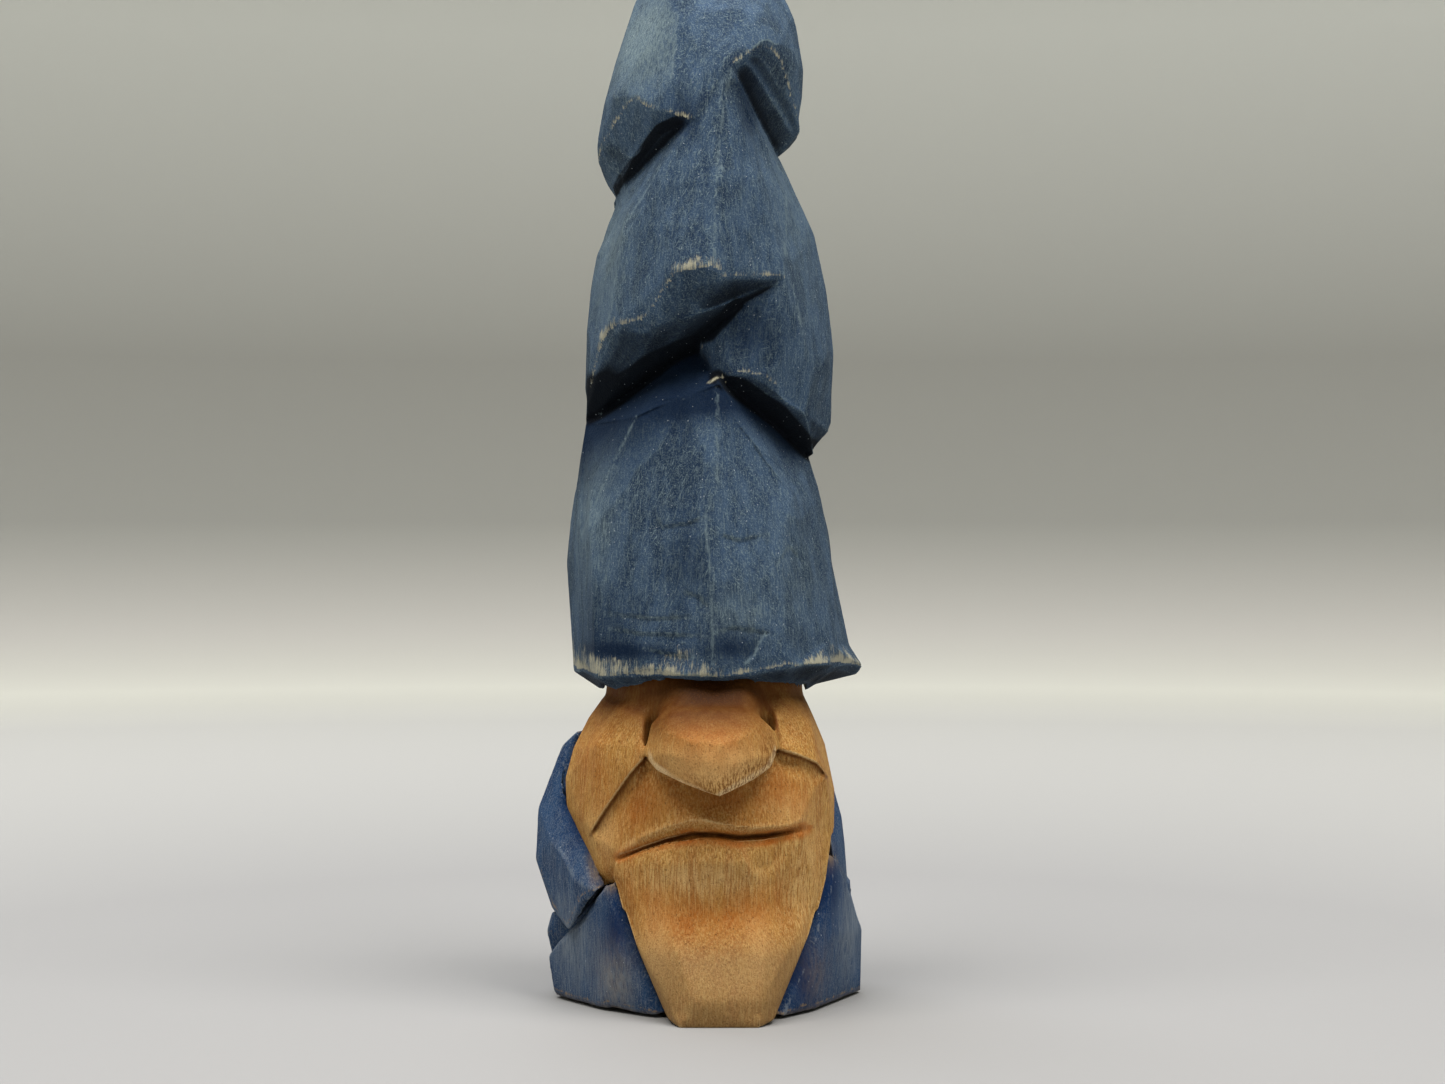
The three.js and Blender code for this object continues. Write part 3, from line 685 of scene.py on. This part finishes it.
def make_coat(rng):
    material = stained_wood("coat_stain", "09244a", "264468", "76808a", "947e60", 0.7)
    for node, voxel, strokes in (("coat", 0.21, 50), ("left_sleeve", 0.16, 14), ("right_sleeve", 0.16, 10)):
        piece = fine_copy(node, voxel)
        surface = Surface(piece.data)
        surface.relax(1)
        pare(surface, strokes, (2.0, 6.0), (0.04, 0.14), rng, True)
        beside_face = close_gap(surface, "head")
        if node == "right_sleeve":
            close_gap(surface, "coat", 0.4)
        surface.relax(1, 0.6)
        facet_masks(surface, 2.5 * beside_face)
        # Painted shade in the coat's hollows and under its overhangs.
        painted_hollow_shade_mask(surface, 40, 0.4)
        torn_mask(surface, 0.6)
        x, y, z = surface.at.T
        outside = smooth_step(np.hypot(x, y), 8.0, 10.0)
        surface.at[:, 2] += 0.3 * (1.0 - smooth_step(z, 0.0, 1.5)) * outside
        surface.store()
        # Painted shade in the recesses beside the sleeves and where the coat meets the face, with denser
        # stain there.
        deep_stain_and_shade = (
            surface.blob((9.2, -11.5, 3.5), (1.6, 3.0, 4.0))
            + surface.blob((12.0, -8.0, 12.0), (1.6, 3.0, 4.0))
            + surface.blob((-8.6, -12.0, 8.0), (1.4, 3.0, 2.5))
            + 0.8 * surface.blob((-12.5, -8.0, 20.0), (2.5, 5.0, 4.0))
        )
        surface.mask("deep_stain_and_shade", deep_stain_and_shade + 0.6 * beside_face)
        bare = (
            surface.blob((12.0, -8.5, 15.2), (1.0, 3.0, 1.4))
            + 0.8 * surface.blob((-9.2, -11.5, 12.4), (0.8, 3.0, 0.8))
            + 0.7 * surface.blob((-10.6, -8.5, 14.0), (0.7, 3.0, 2.0))
            + 0.3 * (1.0 - smooth_step(z, 0.4, 0.8))
            + 0.3 * surface.blob((-8.6, -11.0, 3.5), (1.8, 4.0, 3.5))
            + 0.25 * surface.blob((10.5, -10.0, 3.5), (1.5, 4.0, 3.0))
        )
        surface.mask("bare", bare)
        cuff = 1.0 - smooth_step(surface.near_path(CUFF_LINE)[0], 0.1, 0.35)
        surface.mask("line", cuff * surface.facing_front() * (node == "left_sleeve"))
        # Dusting, and painted sheen on the coat's sides.
        dust_and_sheen = (
            surface.blob((-13.0, -6.0, 6.0), (3.0, 5.0, 5.0))
            + surface.blob((-8.5, -11.0, 3.0), (2.0, 4.0, 3.0))
            + surface.blob((14.0, -4.0, 7.0), (2.0, 5.0, 5.0))
            + 0.2 * surface.blob((-14.0, -4.0, 15.0), (2.0, 5.0, 3.0))
        )
        surface.mask("dust_and_sheen", dust_and_sheen)
        piece.data.materials.append(material)


# ---------------------------------------------------------------- studio

# Greys along the cove, by distance from the middle in metres: a dim floor, a bright band at the floor's far
# edge, a darker wall above it, and a lighter top.
COVE_TONES = [
    (0.1, "909090"), (0.4, "c4c4c0"), (0.53, "e6e6dc"), (0.6, "cccac4"), (0.68, "a0a09a"), (0.77, "9a9a94"),
    (0.92, "cccec8"),
]


def make_cove():
    """A round studio cove: a flat floor that curves up into a wall, with the light's fall-off painted in."""
    floor_edge, bend, top, steps = 0.5, 0.3, 0.7, 24
    turns = [i / steps * np.pi / 2 for i in range(steps + 1)]
    profile = [(floor_edge * i / 10, 0.0) for i in range(10)]
    profile += [(floor_edge + bend * np.sin(t), bend - bend * np.cos(t)) for t in turns]
    profile += [(floor_edge + bend, bend + (top - bend) * i / 4) for i in (1, 2, 3, 4)]
    sides = 96
    corners = [(0.0, 0.0, 0.0)]
    for radius, height in profile[1:]:
        for side in range(sides):
            angle = 2 * np.pi * side / sides
            corners.append((radius * np.cos(angle), radius * np.sin(angle), height))
    faces = [(0, 1 + side, 1 + (side + 1) % sides) for side in range(sides)]
    for ring in range(len(profile) - 2):
        for side in range(sides):
            near, far = 1 + ring * sides, 1 + (ring + 1) * sides
            after = (side + 1) % sides
            faces.append((near + side, far + side, far + after, near + after))
    mesh = bpy.data.meshes.new("cove")
    mesh.from_pydata(corners, [], faces)
    mesh.polygons.foreach_set("use_smooth", np.ones(len(faces), bool))
    ring_along = np.cumsum(np.hypot(*np.diff(np.array(profile), axis=0).T))
    along = [0.0] + [distance for distance in ring_along for _ in range(sides)]
    mesh.attributes.new("along", "FLOAT", "POINT").data.foreach_set("value", along)
    m = Shader("cove", 0.7, 0.1)
    tone = m.add("ShaderNodeValToRGB")
    m.feed(tone.inputs["Fac"], m.mask("along"))
    for place, code in COVE_TONES:
        stop = tone.color_ramp.elements.new(place)
        stop.color = srgb(code)
    tone.color_ramp.elements.remove(tone.color_ramp.elements[0])
    tone.color_ramp.elements.remove(tone.color_ramp.elements[-1])
    mesh.materials.append(m.finish(tone.outputs["Color"], m.noise((1.5, 1.5, 1.5), 2.0), 0.01))
    cove = bpy.data.objects.new("cove", mesh)
    bpy.context.scene.collection.objects.link(cove)


def make_light(name, place, target, size, power, colour):
    data = bpy.data.lights.new(name, "AREA")
    data.shape = "SQUARE"
    data.size = size
    data.energy = power
    data.color = colour
    light = bpy.data.objects.new(name, data)
    bpy.context.scene.collection.objects.link(light)
    light.location = place
    light.rotation_euler = (Vector(target) - Vector(place)).to_track_quat("-Z", "Y").to_euler()


KEY_COLOUR = (1.0, 0.97, 0.93)
OVERHEAD_COLOUR = (0.95, 0.96, 1.0)
LIGHT_SIZE = 0.3
VIEW_HEIGHT = 45.1
VIEW_DISTANCE = 260.9
VIEW_RIGHT = 1.6


def make_studio():
    """Two soft keys from the front and a fill from behind, above a dim even surround."""
    make_cove()
    world = bpy.data.worlds.new("studio")
    bpy.context.scene.world = world
    world.use_nodes = True
    background = world.node_tree.nodes["Background"]
    background.inputs["Color"].default_value = (0.8, 0.8, 0.78, 1.0)
    background.inputs["Strength"].default_value = 0.07
    middle = (0.0, 0.0, 0.05)
    make_light("left_key", (-0.18, -0.15, 0.55), middle, LIGHT_SIZE, 3.1, KEY_COLOUR)
    make_light("right_key", (0.2, -0.15, 0.55), middle, LIGHT_SIZE, 3.5, KEY_COLOUR)
    make_light("overhead", (-0.08, 0.2, 0.56), middle, LIGHT_SIZE, 2.1, OVERHEAD_COLOUR)


def make_camera():
    data = bpy.data.cameras.new("camera")
    data.sensor_width = 36.0
    data.lens = 65.0
    data.clip_start = 0.01
    camera = bpy.data.objects.new("camera", data)
    bpy.context.scene.collection.objects.link(camera)
    camera.location = row_point(VIEW_RIGHT, -VIEW_DISTANCE, VIEW_HEIGHT)
    camera.rotation_euler = (np.pi / 2, 0.0, 0.0)
    bpy.context.scene.camera = camera


random = np.random.default_rng(SEED)
make_camera()
make_studio()
make_hat(random)
make_head(random)
make_coat(random)
bpy.context.scene.view_settings.view_transform = "Standard"
